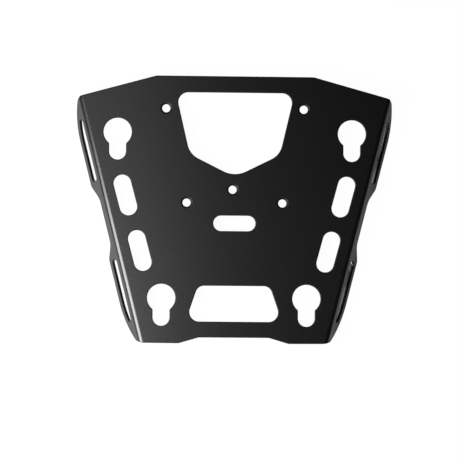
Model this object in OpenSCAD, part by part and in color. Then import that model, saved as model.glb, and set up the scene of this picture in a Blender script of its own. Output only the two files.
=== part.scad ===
// Luggage rack for a motorcycle: one flat sheet, laser cut and folded down along both sides.
// X runs across the rack, Y towards its wide end, Z up. The origin is under the middle of the
// rack, on the ground that its two side flanges stand on. Sizes are in millimetres.

/* [Sheet] */

// Thickness of the sheet
sheet = 3; // [2:0.1:3.4]
// Length of the rack from its narrow end to its wide end
rack_length = 268; // [255:1:290]
// Half the width of the flat top at the narrow end, fold to middle
narrow_half = 90.6; // [86:0.2:96]
// Angle of each fold line to the middle line
fold_lean = 14.2; // [12:0.1:16]
// Half the length of the straight edge at the wide end
wide_edge_half = 79; // [70:0.5:88]
// Slope of the two edges that fall away from it
wide_edge_slope = 15.4; // [12:0.1:18]
// Depth of the step in the narrow end
step_depth = 5.9; // [2:0.1:10]
// Half the length of the step where it is deepest
step_inner_half = 35; // [28:0.5:40]
// Half the length of the step at the narrow edge
step_outer_half = 55; // [50:0.5:62]

/* [Side flanges] */

// How far each flange is folded down from the flat top
fold_angle = 60; // [50:1:72]
// Inside radius of the fold
fold_inside = 1.5; // [1:0.1:3]
// Width of a flange at its feet, past the fold
foot_width = 18.2; // [17:0.2:24]
// Width of a flange at its waist, past the fold
waist_width = 8; // [6.5:0.1:11]
// Rear end of the straight edge of the rear foot, along the fold
rear_foot_start = 46; // [40:0.5:54]
// Distance from the straight edge of the front foot to the front end of the fold
front_foot_back = 44.4; // [40:0.1:50]
// How much longer the straight edge of the front foot is than that of the rear foot
front_foot_extra = 2.5; // [0:0.5:6]
// Length of the straight edge of the waist between the feet
waist_length = 46.4; // [36:0.1:56]
// Length of each slanting edge between a foot and the waist
waist_run = 14.5; // [12:0.5:18]
// Radius at the corners of the feet
foot_corner = 8; // [3:0.5:12]
// Radius at the ends of the waist
waist_corner = 13; // [6:0.5:16]
// Radius of the long curve from the rear foot up to the fold
rear_curve = 70; // [62:1:84]
// Radius of the long curve from the front foot up to the fold
front_curve = 66; // [60:1:80]
// Slope of the cut across the rear end of each fold
rear_cut_slope = 20; // [10:1:30]
// Radius at the front end of each fold
front_round = 4; // [2:0.5:4.5]

/* [Strap slots in the flanges] */

// Width of a strap slot
strap_width = 9; // [6:0.1:9.6]
// Distance from the fold to a strap slot
strap_inset = 4.3; // [3.5:0.1:6]
// Radius of the straight end of a strap slot
strap_round = 4; // [2:0.1:4.4]
// Radius of the curved end of a strap slot
strap_tip = 3; // [2:0.1:3.6]
// Distance from a foot's inner end to its strap slot
strap_gap_rear = 1.5; // [0:0.5:6]
// Distance from the front foot's rear end to its strap slot
strap_gap_front = 3.5; // [2:0.5:10]

/* [Keyholes] */

// Radius of the round part of a keyhole
key_radius = 14.1; // [12:0.1:15]
// Radius of the neck of a keyhole
key_neck = 8.4; // [7:0.1:9.5]
// Distance from the centre of the round part to the centre of the neck's end
key_drop = 19.5; // [17:0.5:24]
// Radius where the neck leaves the round part
key_shoulder = 1.8; // [0.5:0.1:3]
// Distance of the wide-end keyholes from the fold line, measured across the rack
key_front_inset = 26.5; // [23:0.1:30]
// Distance of the wide-end keyholes from the wide end
key_front_back = 57; // [52:0.5:62]
// Distance of the narrow-end keyholes from the fold line, measured across the rack
key_rear_inset = 29.4; // [26:0.1:34]
// Distance of the narrow-end keyholes from the narrow end
key_rear_y = 45.2; // [42:0.2:52]

/* [Slots and bolt holes in the top] */

// Width of the slots in the top
slot_width = 17.4; // [14:0.2:19]
// Length of a side slot between the centres of its ends
slot_length = 24.2; // [18:0.2:27]
// Angle of the side slots to the middle line
slot_lean = 15; // [12:0.5:17]
// Distance of the front side slots from the fold line, measured across the rack
slot_front_inset = 18.7; // [16:0.1:22]
// Distance of the front side slots from the wide end
slot_front_back = 120.3; // [116:0.1:124]
// Distance of the rear side slots from the fold line, measured across the rack
slot_rear_inset = 19.6; // [17:0.1:23]
// Distance of the rear side slots from the narrow end
slot_rear_y = 92.3; // [88:0.5:96]
// Width of the slot in the middle
middle_slot_width = 15.5; // [12:0.5:18]
// Length of the slot in the middle between the centres of its ends
middle_slot_length = 26.7; // [20:0.1:40]
// Distance of the slot in the middle from the wide end
middle_slot_back = 147.8; // [142:0.2:154]
// Diameter of a bolt hole
bolt_hole = 8.2; // [6.6:0.1:9]
// Diameter of the countersink at the top face
bolt_sink = 12.4; // [11:0.1:12.8]
// Half the spacing of the front pair of bolt holes
bolt_front_x = 69; // [66:0.5:73]
// Distance of the front pair of bolt holes from the wide end
bolt_front_back = 32.8; // [30:0.2:36]
// Half the spacing of the rear pair of bolt holes
bolt_rear_x = 48; // [40:0.5:58]
// Distance of the rear pair of bolt holes from the wide end
bolt_rear_back = 127.3; // [118:0.1:130]
// Distance of the single bolt hole to the right of the middle line
bolt_single_x = -2; // [-6:0.5:6]
// Distance of the single bolt hole from the wide end
bolt_single_back = 114; // [110:0.5:120]

/* [Openings in the top] */

// Front edge of the large opening, from the wide end
large_front_back = 16.5; // [13:0.5:20]
// Half the width of the large opening at its front edge, before rounding
large_front_half = 59.6; // [54:0.2:61]
// Distance from its front edge to its side corners, along the middle line
large_side_run = 62.3; // [55:0.1:68]
// Half the width of the large opening at that corner, before rounding
large_side_half = 45.1; // [38:0.1:50]
// Distance from its front edge to its rear corner
large_length = 84.7; // [79:0.1:87]
// Radius of its front corners
large_front_round = 10; // [4:0.5:14]
// Radius of its side corners
large_side_round = 20; // [6:0.5:24]
// Radius of its rear corner
large_rear_round = 25; // [8:1:30]
// Front edge of the small opening, from the narrow end
small_front_y = 57.6; // [54:0.2:64]
// Rear edge of the small opening, from the narrow end
small_rear_y = 21.8; // [16:0.2:26]
// Half the width of the small opening at its front edge, before rounding
small_front_half = 35.9; // [28:0.1:38]
// Half the width of the small opening at its rear edge, before rounding
small_rear_half = 48.2; // [42:0.1:50]
// Radius of its front corners
small_front_round = 8.5; // [4:0.5:11]
// Radius of its rear corners
small_rear_round = 9.6; // [4:0.2:12]

/* [Hidden] */

// Names of the pieces of the rack
// Piece that is drawn

// Sides of a drawn circle
$fn = 72;
// Length by which a cutting shape runs past what it cuts
past = 1;
// Length by which a rounding crosses the edges that it joins
overlap = 0.002;
// Large size for the shapes that trim the flanges
trim = 60;
// Distance past the fold at which the rounded front end of each fold begins to fall
front_reach = 2.4;

// Outside radius of the fold
fold_outside = fold_inside + sheet;
// Reach of the fold outwards and downwards
fold_reach = fold_outside * sin(fold_angle);
fold_fall = fold_outside * (1 - cos(fold_angle));
// Height of the flat top above the ground
rack_height = fold_fall + foot_width * sin(fold_angle) + sheet * cos(fold_angle);

// Front corner of the flat top, where its sloping edge meets the fold line
corner_y = (rack_length + (wide_edge_half - narrow_half) * tan(wide_edge_slope))
    / (1 + tan(fold_lean) * tan(wide_edge_slope));
corner_x = narrow_half + corner_y * tan(fold_lean);
// Length of each fold line
fold_length = corner_y / cos(fold_lean);
// Length of the straight edge of the rear foot: the two feet share what the rest of the fold leaves
rear_foot_length = (fold_length - rear_foot_start - front_foot_back - waist_length - 2 * waist_run
    - front_foot_extra) / 2;
// Ends of both feet, along the fold from the narrow end
rear_foot_end = rear_foot_start + rear_foot_length;
front_foot_end = fold_length - front_foot_back;
front_foot_start = front_foot_end - rear_foot_length - front_foot_extra;
// Corners of the large opening, from the narrow end
large_front_y = rack_length - large_front_back;
large_side_y = large_front_y - large_side_run;
large_rear_y = large_front_y - large_length;

// Distance of a fold line from the middle line, at a distance y from the narrow end
function fold_x(y) = narrow_half + y * tan(fold_lean);
// Places of what comes in pairs, on the right side
key_front = [fold_x(rack_length - key_front_back) - key_front_inset, rack_length - key_front_back];
key_rear = [fold_x(key_rear_y) - key_rear_inset, key_rear_y];
slot_front = [fold_x(rack_length - slot_front_back) - slot_front_inset, rack_length - slot_front_back];
slot_rear = [fold_x(slot_rear_y) - slot_rear_inset, slot_rear_y];
bolt_front = [bolt_front_x, rack_length - bolt_front_back];
bolt_rear = [bolt_rear_x, rack_length - bolt_rear_back];
bolt_single = [bolt_single_x, rack_length - bolt_single_back];

// Direction from one point to another
function way(a, b) = (b - a) / norm(b - a);
// Angle between the two edges at corner b
function corner_angle(a, b, c) = acos(way(b, a) * way(b, c));
// Distance from corner b to the points where a rounding of radius r meets its edges
function rounding_run(a, b, c, r) = r / tan(corner_angle(a, b, c) / 2);
// Points where the rounding meets the edge before and the edge after corner b
function run_in(a, b, c, r) = b + way(b, a) * rounding_run(a, b, c, r);
function run_out(a, b, c, r) = b + way(b, c) * rounding_run(a, b, c, r);
// Centre of the rounding
function rounding_centre(a, b, c, r) =
    b + (way(b, a) + way(b, c)) / norm(way(b, a) + way(b, c)) * r / sin(corner_angle(a, b, c) / 2);
// Positive where the outline, drawn anticlockwise, turns left at corner b
function turn(a, b, c) = cross(b - a, c - b);

// Disc that rounds corner b, a hair larger than it need be so that it crosses the edges it joins
module rounding(a, b, c, r) {
    translate(rounding_centre(a, b, c, r))
        circle(r + overlap);
}

// Outline through the points, drawn anticlockwise, with a true arc at every corner that has a radius
module rounded(points, radii) {
    last = len(points);
    before = [for (i = [0:last - 1]) points[(i + last - 1) % last]];
    after = [for (i = [0:last - 1]) points[(i + 1) % last]];
    cut = [for (i = [0:last - 1]) each radii[i] == 0 ? [points[i]] : [
        run_in(before[i], points[i], after[i], radii[i]),
        run_out(before[i], points[i], after[i], radii[i])
    ]];
    difference() {
        union() {
            polygon(cut);
            for (i = [0:last - 1]) {
                if (radii[i] > 0 && turn(before[i], points[i], after[i]) > 0)
                    rounding(before[i], points[i], after[i], radii[i]);
            }
        }
        for (i = [0:last - 1]) {
            if (radii[i] > 0 && turn(before[i], points[i], after[i]) < 0)
                rounding(before[i], points[i], after[i], radii[i]);
        }
    }
}

// Points of the right half followed by their mirror images, to close an outline about the middle line
function both_sides(half) = concat(half, [for (i = [len(half) - 1:-1:0]) [-half[i][0], half[i][1]]]);
function both_radii(half) = concat(half, [for (i = [len(half) - 1:-1:0]) half[i]]);

// Outline of the flat top between the two fold lines
module top_outline() {
    half = [
        [step_inner_half, step_depth],
        [step_outer_half, 0],
        [narrow_half, 0],
        [corner_x, corner_y],
        [wide_edge_half, rack_length]
    ];
    rounded(both_sides(half), both_radii([6, 6, 0, 0, 3]));
}

// Slot with round ends, centred, its length along Y
module slot(width, length) {
    translate([-width / 2, -length / 2])
        square([width, length]);
    translate([0, length / 2])
        circle(width / 2);
    translate([0, -length / 2])
        circle(width / 2);
}

// Keyhole with its neck towards the narrow end
module keyhole() {
    shoulder_x = key_neck + key_shoulder;
    shoulder_y = sqrt(pow(key_radius + key_shoulder, 2) - pow(shoulder_x, 2));
    share = key_radius / (key_radius + key_shoulder);
    circle(key_radius);
    translate([-key_neck, -key_drop])
        square([2 * key_neck, key_drop]);
    translate([0, -key_drop])
        circle(key_neck);
    difference() {
        polygon([
            [-shoulder_x * share, -shoulder_y * share],
            [-key_neck, -shoulder_y],
            [key_neck, -shoulder_y],
            [shoulder_x * share, -shoulder_y * share]
        ]);
        for (side = [-1, 1]) {
            translate([side * shoulder_x, -shoulder_y])
                circle(key_shoulder + overlap);
        }
    }
}

// Large opening at the wide end
module large_opening() {
    rounded(
        [
            [0, large_rear_y],
            [large_side_half, large_side_y],
            [large_front_half, large_front_y],
            [-large_front_half, large_front_y],
            [-large_side_half, large_side_y]
        ],
        [large_rear_round, large_side_round, large_front_round, large_front_round, large_side_round]
    );
}

// Small opening at the narrow end
module small_opening() {
    rounded(
        both_sides([[small_rear_half, small_rear_y], [small_front_half, small_front_y]]),
        both_radii([small_rear_round, small_front_round])
    );
}

// Every opening that goes straight through the top, apart from the bolt holes
module top_openings() {
    large_opening();
    small_opening();
    translate([0, rack_length - middle_slot_back])
        rotate(90)
            slot(middle_slot_width, middle_slot_length);
    for (side = [0, 1]) {
        mirror([side, 0]) {
            translate(key_front)
                keyhole();
            translate(key_rear)
                keyhole();
            translate(slot_front)
                rotate(-slot_lean)
                    slot(slot_width, slot_length);
            translate(slot_rear)
                rotate(-slot_lean)
                    slot(slot_width, slot_length);
        }
    }
}

// Bolt hole with its countersink, drawn at its place in the top
module bolt_cut(place) {
    sink_depth = (bolt_sink - bolt_hole) / 2;
    translate([place[0], place[1], -sheet - past])
        cylinder(d = bolt_hole, h = sheet + 2 * past);
    translate([place[0], place[1], -sink_depth])
        cylinder(d1 = bolt_hole, d2 = bolt_sink + 2 * past, h = sink_depth + past);
}

// Flat top with all its openings, its upper face at height nought
module top() {
    difference() {
        translate([0, 0, -sheet])
            linear_extrude(sheet)
                difference() {
                    top_outline();
                    top_openings();
                }
        for (side = [0, 1]) {
            mirror([side, 0, 0]) {
                bolt_cut(bolt_front);
                bolt_cut(bolt_rear);
            }
        }
        bolt_cut(bolt_single);
    }
}

// Strap slot of a foot, X outwards from the fold and Y along it, drawn with the curved end at the front
module strap_slot(start, curve_start, curve) {
    // The outer side follows the foot's own curve at an even distance
    middle = [foot_width - curve, curve_start];
    inner_curve = curve - (foot_width - strap_inset - strap_width);
    tip_x = strap_inset + strap_tip;
    tip_y = curve_start + sqrt(pow(inner_curve - strap_tip, 2) - pow(tip_x - middle[0], 2));
    tip = [tip_x, tip_y];
    rounded(
        [
            [strap_inset, start],
            [strap_inset + strap_width, start],
            [strap_inset + strap_width, curve_start],
            [strap_inset, curve_start]
        ],
        [strap_round, strap_round, 0, 0]
    );
    intersection() {
        translate(middle)
            circle(inner_curve, $fn = 180);
        polygon([
            [strap_inset, curve_start],
            [strap_inset + strap_width + past, curve_start],
            tip + way(middle, tip) * (strap_tip + past),
            tip,
            [strap_inset, tip_y]
        ]);
    }
    translate(tip)
        circle(strap_tip + overlap);
}

// Outline of the flat part of a flange, X outwards from the fold and Y along it from the narrow end
module flange_outline() {
    rear_middle = [foot_width - rear_curve, rear_foot_start];
    front_middle = [foot_width - front_curve, front_foot_end];
    difference() {
        intersection() {
            rounded(
                [
                    [0, 0],
                    [foot_width, 0],
                    [foot_width, rear_foot_end],
                    [waist_width, rear_foot_end + waist_run],
                    [waist_width, front_foot_start - waist_run],
                    [foot_width, front_foot_start],
                    [foot_width, fold_length],
                    [0, fold_length]
                ],
                [0, 0, foot_corner, waist_corner, waist_corner, foot_corner, 0, 0]
            );
            union() {
                translate(rear_middle)
                    circle(rear_curve, $fn = 180);
                translate(front_middle)
                    circle(front_curve, $fn = 180);
                translate([-past, rear_foot_start])
                    square([foot_width + past, front_foot_end - rear_foot_start]);
            }
        }
        strap_slot(front_foot_start + strap_gap_front, front_foot_end, front_curve);
        translate([0, rear_foot_end])
            mirror([0, 1])
                strap_slot(strap_gap_rear, rear_foot_end - rear_foot_start, rear_curve);
    }
}

// Fold and flange of the right side, X outwards and Y along the fold, from the narrow end
module folded_side() {
    translate([0, 0, -fold_outside])
        rotate([90, 0, 0])
            rotate([0, 0, 90 - fold_angle])
                rotate_extrude(angle = fold_angle)
                    translate([fold_inside, -fold_length])
                        square([sheet, fold_length]);
    translate([fold_reach, 0, -fold_fall])
        rotate([0, fold_angle, 0])
            translate([0, 0, -sheet])
                linear_extrude(sheet)
                    flange_outline();
}

// What rounds off the front end of the fold and flange
module front_trim() {
    translate([fold_reach + front_reach - front_round, fold_length - front_round, -trim / 2])
        linear_extrude(trim)
            difference() {
                square(front_round + past * 3);
                circle(front_round + overlap);
            }
}

// Fold and flange in place at the right side of the top, trimmed at both ends
module right_side() {
    difference() {
        translate([narrow_half, 0, 0])
            rotate([0, 0, -fold_lean])
                difference() {
                    folded_side();
                    front_trim();
                }
        translate([narrow_half, 0, -trim / 2])
            rotate([0, 0, rear_cut_slope])
                translate([-trim / 2, -trim])
                    cube([trim, trim, trim]);
    }
}

// The rack, folded from one sheet
module rack_plate() {
    color("#2b2c2d")
        translate([0, -rack_length / 2, rack_height]) {
            top();
            right_side();
            mirror([1, 0, 0])
                right_side();
        }
}

rack_plate();
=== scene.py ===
# %% [markdown]
# # A folded luggage rack in black powder coat
# The rack is one sheet of metal, cut flat and folded down along both sides. Its size, holes and folds
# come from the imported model, which is loaded first and never changed. What is added here is what a
# picture needs: folds and corners that are a little rounder, the soft edge that a coat of powder gives
# to cut metal, the coat itself, the floor, the lamps and the camera.

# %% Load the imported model
import math

import bmesh
import bpy
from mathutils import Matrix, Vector


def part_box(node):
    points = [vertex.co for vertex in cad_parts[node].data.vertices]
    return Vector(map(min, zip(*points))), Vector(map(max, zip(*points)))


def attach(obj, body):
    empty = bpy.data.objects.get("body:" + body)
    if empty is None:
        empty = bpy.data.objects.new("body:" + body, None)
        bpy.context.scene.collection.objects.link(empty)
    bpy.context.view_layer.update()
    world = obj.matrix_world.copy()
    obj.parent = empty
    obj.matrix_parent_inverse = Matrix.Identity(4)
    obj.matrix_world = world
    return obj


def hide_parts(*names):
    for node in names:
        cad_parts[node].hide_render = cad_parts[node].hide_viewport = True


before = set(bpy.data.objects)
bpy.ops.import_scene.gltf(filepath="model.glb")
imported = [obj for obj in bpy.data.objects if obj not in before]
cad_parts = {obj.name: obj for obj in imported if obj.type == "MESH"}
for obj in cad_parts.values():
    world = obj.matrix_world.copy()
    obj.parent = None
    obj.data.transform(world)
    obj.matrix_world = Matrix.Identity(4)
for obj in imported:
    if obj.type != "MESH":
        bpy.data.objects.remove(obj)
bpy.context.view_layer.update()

MM = 0.001
low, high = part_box("rack_plate")
rack_top = high.z
print("rack", [round(side / MM, 1) for side in high - low], "mm")

# %% [markdown]
# ## The camera
# The picture is taken from almost straight above. The camera stands about three degrees towards the
# narrow end and a little over two to the left, and it is far away, so the height of the rack hardly
# shows in perspective. The easiest way to place such a camera is to choose the point it looks at, turn
# it, and pull it back along its own axis.

# %% Camera
camera_distance = 2.5
camera_turn = [math.radians(angle) for angle in (2.906, -2.407, 0.404)]
camera_target = Vector((-4.4 * MM, -20.5 * MM, rack_top))
sensor_width = 36.0
# One millimetre of the rack fills one pixel of a picture that is 460 pixels wide
picture_width = 460 * MM

bpy.ops.object.camera_add(location=(0, 0, 0), rotation=camera_turn)
camera = bpy.context.object
camera.name = "camera"
bpy.context.view_layer.update()
camera.location = camera_target + camera.matrix_world.to_3x3() @ Vector((0, 0, camera_distance))
camera.data.sensor_width = sensor_width
camera.data.lens = sensor_width * camera_distance / picture_width
camera.data.clip_end = 20
bpy.context.scene.camera = camera
print("camera at", [round(c, 3) for c in camera.location], "lens", round(camera.data.lens, 1), "mm")

# %% [markdown]
# ## Helpers for materials
# Colours are written as they look on a screen and turned to linear light by one function. One more
# function adds a node with its settings and its links.

# %% Helpers
def linear(hex_colour):
    channels = [int(hex_colour[i:i + 2], 16) / 255 for i in (1, 3, 5)]
    return [c / 12.92 if c <= 0.04045 else ((c + 0.055) / 1.055) ** 2.4 for c in channels] + [1.0]


def new_material(name):
    material = bpy.data.materials.new(name)
    material.use_nodes = True
    material.node_tree.nodes.clear()
    return material


def node(tree, kind, inputs=None, **settings):
    """A node of that kind. A value in inputs is a number, a colour, or another node's output to link."""
    made = tree.nodes.new(kind)
    for name, value in settings.items():
        setattr(made, name, value)
    for name, value in (inputs or {}).items():
        if isinstance(value, bpy.types.NodeSocket):
            tree.links.new(value, made.inputs[name])
        else:
            made.inputs[name].default_value = value
    return made


def deselect_all():
    if bpy.context.mode != "OBJECT":
        bpy.ops.object.mode_set(mode="OBJECT")
    bpy.ops.object.select_all(action="DESELECT")


# %% [markdown]
# ## The coated sheet
# A sheet that was cut by a laser has sharp edges, and powder coat rolls over them as it melts, so each
# edge ends up with a radius of a few tenths of a millimetre. That thin roll draws a fine line of light
# or dark round every hole, and the dark is made deeper by painted shade, a darker black on the roll.
# The imported mesh is loose triangles with sharp edges, so a copy is made, its doubles are merged,
# flat stretches are joined into single faces, and every sharp edge is beveled. The copy then stands for
# the imported piece.

# %% Copy the sheet and merge it
merge_within = 0.002 * MM
flat_within = math.radians(0.5)

deselect_all()
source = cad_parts["rack_plate"]
plate = bpy.data.objects.new("coated_plate", source.data.copy())
bpy.context.scene.collection.objects.link(plate)
plate.select_set(True)
bpy.context.view_layer.objects.active = plate
bpy.ops.object.mode_set(mode="EDIT")
bpy.ops.mesh.select_all(action="SELECT")
bpy.ops.mesh.remove_doubles(threshold=merge_within)
bpy.ops.mesh.dissolve_limited(angle_limit=flat_within, delimit=set())
bpy.ops.object.mode_set(mode="OBJECT")
print("merged sheet:", len(plate.data.vertices), "points,", len(plate.data.polygons), "faces")

# %% [markdown]
# A press brake folds the sheet over a round nose. In the picture the light runs down each fold as a
# broad soft band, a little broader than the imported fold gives, so the copy is folded over a rounder
# nose. Every point of the two arcs keeps its angle and moves to an arc with the same sheet between
# them, and the flat top and the flanges stay in their planes.
#
# At the wide end each flange starts with a corner that is rounded on the real rack. There the cut edge
# of the fold is drawn back along the fold, more and more towards the corner, by two millimetres at
# most. All the other points of the fold lie far away at the narrow end, so the sheet is first divided
# just in front of these corners, or their new slant would bend the shading of the whole fold.

# %% Fold over a rounder nose
# The fold line starts this far from the middle at the narrow end and leans outwards
fold_start = 90.6 * MM
fold_lean = math.radians(14.2)
fold_angle = math.radians(60)
packed_outside = 4.5 * MM
packed_inside = 1.5 * MM
rounder = 1.5 * MM
on_arc = 0.01 * MM
corners_from = 112 * MM
corner_cut = 2 * MM
divide_at = 109 * MM

shape = bmesh.new()
shape.from_mesh(plate.data)
bmesh.ops.bisect_plane(shape, geom=shape.verts[:] + shape.edges[:] + shape.faces[:],
    plane_co=(0, divide_at, 0), plane_no=(0, 1, 0))
shape.to_mesh(plate.data)
shape.free()

moved = 0
for vertex in plate.data.vertices:
    side = math.copysign(1, vertex.co.x)
    beside_start = abs(vertex.co.x) - fold_start
    along_rack = vertex.co.y - low.y
    across = beside_start * math.cos(fold_lean) - along_rack * math.sin(fold_lean)
    rise = vertex.co.z - (rack_top - packed_outside)
    radius = math.hypot(across, rise)
    off_arc = min(abs(radius - packed_outside), abs(radius - packed_inside))
    if vertex.co.y > corners_from and across > on_arc:
        share_of_bend = min(math.atan2(across, rise) / fold_angle, 1)
        drawn_back = corner_cut * share_of_bend ** 2
        vertex.co.x -= side * drawn_back * math.sin(fold_lean)
        vertex.co.y -= drawn_back * math.cos(fold_lean)
    if off_arc < on_arc and across > -on_arc and rise > 0:
        growth = rounder / radius
        slide = across * growth - rounder * math.tan(fold_angle / 2)
        vertex.co.x += side * slide * math.cos(fold_lean)
        vertex.co.y -= slide * math.sin(fold_lean)
        vertex.co.z += rise * growth - rounder
        moved += 1
plate.data.update()
print("points of the folds moved:", moved)

# %% [markdown]
# The edges of the flat top are broken the most, for bags slide over them. All other edges only have
# the small roll of the coat. A weight on each sharp edge says how much of the full roll it gets, and
# the folds bend by steps that are far below the limit. The cones of the countersinks meet the top at
# 45 degrees and are left crisp, as the drill leaves them.

# %% Round the cut edges
top_roll = 0.9 * MM
small_roll = 0.35
roll_steps = 3
sharp_from = math.radians(50)
top_normal_from = 0.99

shape = bmesh.new()
shape.from_mesh(plate.data)
roll_weight = shape.edges.layers.float.new("bevel_weight_edge")
for edge in shape.edges:
    if edge.calc_face_angle(0) > sharp_from:
        beside_top = max(face.normal.z for face in edge.link_faces) > top_normal_from
        edge[roll_weight] = 1.0 if beside_top else small_roll
shape.to_mesh(plate.data)
shape.free()

# Two empty material slots let the bevel mark its own faces with the second one
rolled = 1
plate.data.materials.clear()
plate.data.materials.append(None)
plate.data.materials.append(None)
bevel = plate.modifiers.new("coat_roll", "BEVEL")
bevel.width = top_roll
bevel.segments = roll_steps
bevel.limit_method = "WEIGHT"
bevel.material = rolled
bevel.use_clamp_overlap = False
bpy.ops.object.modifier_apply(modifier="coat_roll")

# %% [markdown]
# As powder melts it draws back from an edge and hardly gets into a countersink, so the coat is thin
# and matt there. The same marks also carry painted shade: the black is made darker on the rolls and in
# the countersinks, which draws dark rims round the holes and dark rings in the countersinks. The rolls
# and the countersinks are marked with an attribute, which the coat reads. A cone of a countersink is
# found by its place at a bolt hole and by its slant.

# %% Mark where the coat is thin and where shade is painted
# Centres of the bolt holes in millimetres
bolt_holes = [(-69, 101.2), (69, 101.2), (-48, 6.7), (48, 6.7), (-2, 20)]
sink_radius = 6.2 * MM
level_normal_from = 0.95

# Each marked face gets a thin matt coat and also painted shade: a darker black that draws dark rims
# round the holes and dark rings in the countersinks.
thin_and_painted_shade = []
for face in plate.data.polygons:
    to_bolt = min(math.hypot(face.center.x - x * MM, face.center.y - y * MM) for x, y in bolt_holes)
    in_countersink = to_bolt < sink_radius and face.normal.z < level_normal_from
    thin_and_painted_shade.append(1.0 if face.material_index == rolled or in_countersink else 0.0)
plate.data.attributes.new("thin_coat_and_painted_shade", "FLOAT", "FACE").data.foreach_set("value", thin_and_painted_shade)
plate.data.polygons.foreach_set("material_index", [0] * len(thin_and_painted_shade))
print("faces with a thin coat:", int(sum(thin_and_painted_shade)), "of", len(thin_and_painted_shade))

# %% [markdown]
# A laser leaves flat faces and a press brake smooth bends. So the shading is smooth over the steps of
# the rolls and folds and breaks at every sharper edge, and the large flat faces lead where they meet
# a roll, which keeps them flat to the eye.

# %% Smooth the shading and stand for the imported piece
smooth_below = math.radians(40)
lead_of_large_faces = 100

bpy.ops.object.shade_smooth_by_angle(angle=smooth_below)
weighted = plate.modifiers.new("flat_faces_lead", "WEIGHTED_NORMAL")
weighted.keep_sharp = True
weighted.weight = lead_of_large_faces
bpy.ops.object.modifier_apply(modifier="flat_faces_lead")
plate.data.materials.clear()
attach(plate, "root")
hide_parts("rack_plate")
print("coated sheet:", len(plate.data.vertices), "points,", len(plate.data.polygons), "faces")

# %% [markdown]
# ## Black powder coat
# Powder coat is a polyester powder that is sprayed on dry and baked until it flows. It sets as a
# satin skin with two textures: a fine grain of about half a millimetre, left by the powder, and a soft
# waviness of several millimetres, as on the peel of an orange. Both are very low, so from above they
# show only as a slight unevenness in the glow of the lamps. A third and much larger pattern shifts the
# black a little, as handling and an uneven coat do. The skin isn't a metal: its colour is a plain
# near-black, and its shine comes from the clear binder on top of the pigment.

# %% Powder coat material
grain_size = 0.55 * MM
grain_depth = 0.03 * MM
wave_size = 7 * MM
wave_depth = 0.05 * MM
handling_size = 60 * MM

coat = new_material("black_powder_coat")
tree = coat.node_tree
place = node(tree, "ShaderNodeTexCoord")
grain = node(tree, "ShaderNodeTexNoise", {
    "Vector": place.outputs["Object"], "Scale": 1 / grain_size, "Detail": 2.0, "Roughness": 0.55})
waves = node(tree, "ShaderNodeTexNoise", {
    "Vector": place.outputs["Object"], "Scale": 1 / wave_size, "Detail": 1.0, "Roughness": 0.4})
handling = node(tree, "ShaderNodeTexNoise", {
    "Vector": place.outputs["Object"], "Scale": 1 / handling_size, "Detail": 3.0, "Roughness": 0.6})
shade = node(tree, "ShaderNodeMix", {
    "Factor": handling.outputs["Fac"], "A": linear("#101010"), "B": linear("#141414")},
    data_type="RGBA")
# Painted shade: the marked faces take a darker black, #080808, for dark rims round the holes and dark
# rings in the countersinks. Their higher roughness and lower shine are the thin, matt coat.
thin_coat_and_painted_shade = node(tree, "ShaderNodeAttribute", attribute_name="thin_coat_and_painted_shade")
black = node(tree, "ShaderNodeMix", {
    "Factor": thin_coat_and_painted_shade.outputs["Fac"], "A": shade.outputs["Result"], "B": linear("#080808")},
    data_type="RGBA")
satin = node(tree, "ShaderNodeMapRange", {
    "Value": grain.outputs["Fac"], "From Min": 0.3, "From Max": 0.7, "To Min": 0.23, "To Max": 0.29})
roughness = node(tree, "ShaderNodeMix", {
    "Factor": thin_coat_and_painted_shade.outputs["Fac"], "A": satin.outputs["Result"], "B": 0.5})
shine = node(tree, "ShaderNodeMix", {"Factor": thin_coat_and_painted_shade.outputs["Fac"], "A": 0.5, "B": 0.25})
wave_bump = node(tree, "ShaderNodeBump", {
    "Height": waves.outputs["Fac"], "Strength": 0.1, "Distance": wave_depth})
grain_bump = node(tree, "ShaderNodeBump", {
    "Height": grain.outputs["Fac"], "Normal": wave_bump.outputs["Normal"],
    "Strength": 0.16, "Distance": grain_depth})
skin = node(tree, "ShaderNodeBsdfPrincipled", {
    "Base Color": black.outputs["Result"], "Roughness": roughness.outputs["Result"],
    "Specular IOR Level": shine.outputs["Result"],
    "Normal": grain_bump.outputs["Normal"], "IOR": 1.65})
node(tree, "ShaderNodeOutputMaterial", {"Surface": skin.outputs["BSDF"]})
plate.data.materials.append(coat)

# %% [markdown]
# ## Floor
# The rack stands on its two flanges on a white studio floor. For the camera most of the paper is
# replaced by a plain glow just above white, so that it comes out white without flooding the edges of
# the rack, and the rest of the paper keeps a faint soft shadow. In reflections the glow has a much
# smaller share, for the flanges mirror the floor close beside them, where it lies in the shade of the
# rack. No light of this glow falls on the rack.
#
# The glow leaves out the strip of paper under the two long slots of the right flange. It lies deep in
# the shade of the rack, and in the picture it shows through those slots as a dark grey line. The strip
# runs beside the fold line, so a point's place in it is its distance outwards from that line.

# %% Floor
floor_size = 8.0
glow_seen = 0.94
glow_mirrored = 0.12
glow_strength = 1.04
strip_middle = 8.1 * MM
strip_half = 1.6 * MM
rear_slot_middle = 57 * MM
rear_slot_half = 33 * MM
front_slot_middle = -82.5 * MM
front_slot_half = 30.5 * MM

deselect_all()
bpy.ops.mesh.primitive_plane_add(size=floor_size, location=(0, 0, 0))
floor = bpy.context.object
floor.name = "studio_floor"

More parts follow.
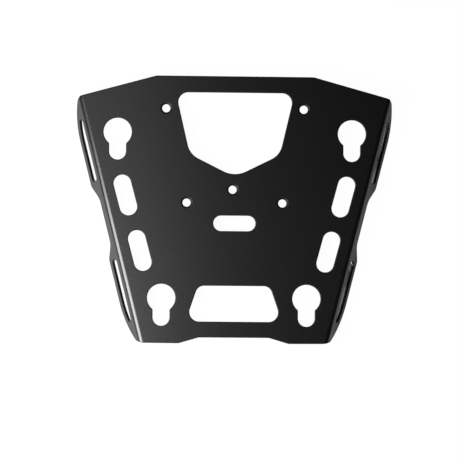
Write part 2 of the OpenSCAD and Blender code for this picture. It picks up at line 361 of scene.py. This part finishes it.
paper = new_material("white_studio_paper")
tree = paper.node_tree
ground = node(tree, "ShaderNodeTexCoord")
spot = node(tree, "ShaderNodeSeparateXYZ", {"Vector": ground.outputs["Object"]})
outwards = node(tree, "ShaderNodeVectorMath", {
    0: ground.outputs["Object"], 1: (math.cos(fold_lean), -math.sin(fold_lean), 0)},
    operation="DOT_PRODUCT")
fold_line = fold_start * math.cos(fold_lean) - low.y * math.sin(fold_lean)
in_strip = node(tree, "ShaderNodeMath", {
    0: outwards.outputs["Value"], 1: fold_line + strip_middle, 2: strip_half}, operation="COMPARE")
at_rear_slot = node(tree, "ShaderNodeMath", {
    0: spot.outputs["Y"], 1: rear_slot_middle, 2: rear_slot_half}, operation="COMPARE")
at_front_slot = node(tree, "ShaderNodeMath", {
    0: spot.outputs["Y"], 1: front_slot_middle, 2: front_slot_half}, operation="COMPARE")
at_a_slot = node(tree, "ShaderNodeMath", {
    0: at_rear_slot.outputs[0], 1: at_front_slot.outputs[0]}, operation="ADD")
shaded = node(tree, "ShaderNodeMath", {
    0: in_strip.outputs[0], 1: at_a_slot.outputs[0]}, operation="MULTIPLY")
seen_share = node(tree, "ShaderNodeMath", {
    0: shaded.outputs[0], 1: -glow_seen, 2: glow_seen}, operation="MULTIPLY_ADD")

ray = node(tree, "ShaderNodeLightPath")
mirrored = node(tree, "ShaderNodeMath", {
    0: ray.outputs["Is Glossy Ray"], 1: ray.outputs["Is Transmission Ray"]}, operation="MAXIMUM")
mirrored_share = node(tree, "ShaderNodeMath", {
    0: mirrored.outputs[0], 1: glow_mirrored}, operation="MULTIPLY")
glow_share = node(tree, "ShaderNodeMath", {
    0: ray.outputs["Is Camera Ray"], 1: seen_share.outputs[0], 2: mirrored_share.outputs[0]},
    operation="MULTIPLY_ADD")
matt = node(tree, "ShaderNodeBsdfDiffuse", {"Color": linear("#e8e8e8")})
glow = node(tree, "ShaderNodeEmission", {"Color": linear("#ffffff"), "Strength": glow_strength})
mixed = node(tree, "ShaderNodeMixShader", {"Fac": glow_share.outputs[0]})
tree.links.new(matt.outputs["BSDF"], mixed.inputs[1])
tree.links.new(glow.outputs["Emission"], mixed.inputs[2])
node(tree, "ShaderNodeOutputMaterial", {"Surface": mixed.outputs["Shader"]})
floor.data.materials.append(paper)

# %% [markdown]
# ## Light
# The glow on the flat top is strongest at the left and dies away to the right, and it is brightest at
# the lower left corner. So all the lamps stand on the left, a little towards the narrow end. The large
# upper one lays the broad glow over the left half. The middle one and the low one brighten the corner
# and the two folds, and they light the floor beside the left flange, which mirrors it, while the right
# flange looks down on its own shade. A trace of light from the room keeps the walls of the holes from
# going quite black.

# %% Lamps and room
room_light = 0.02


def softbox(name, place_at, size, watts):
    """A rectangular lamp that faces the middle of the rack."""
    bpy.ops.object.light_add(type="AREA", location=place_at)
    lamp = bpy.context.object
    lamp.name = name
    lamp.data.shape = "RECTANGLE"
    lamp.data.size, lamp.data.size_y = size
    lamp.data.energy = watts
    lamp.rotation_euler = (-Vector(place_at)).to_track_quat("-Z", "Y").to_euler()


softbox("low_softbox", (-0.36, -0.185, 0.29), (0.27, 0.27), 1.1)
softbox("middle_softbox", (-0.36, -0.14, 0.42), (0.3, 0.45), 3.5)
softbox("upper_softbox", (-0.39, -0.035, 0.7), (0.8, 0.8), 1.35)

world = bpy.data.worlds.new("studio_room")
bpy.context.scene.world = world
world.use_nodes = True
room = world.node_tree.nodes["Background"]
room.inputs["Color"].default_value = linear("#ffffff")
room.inputs["Strength"].default_value = room_light

bpy.context.scene.view_settings.view_transform = "Standard"
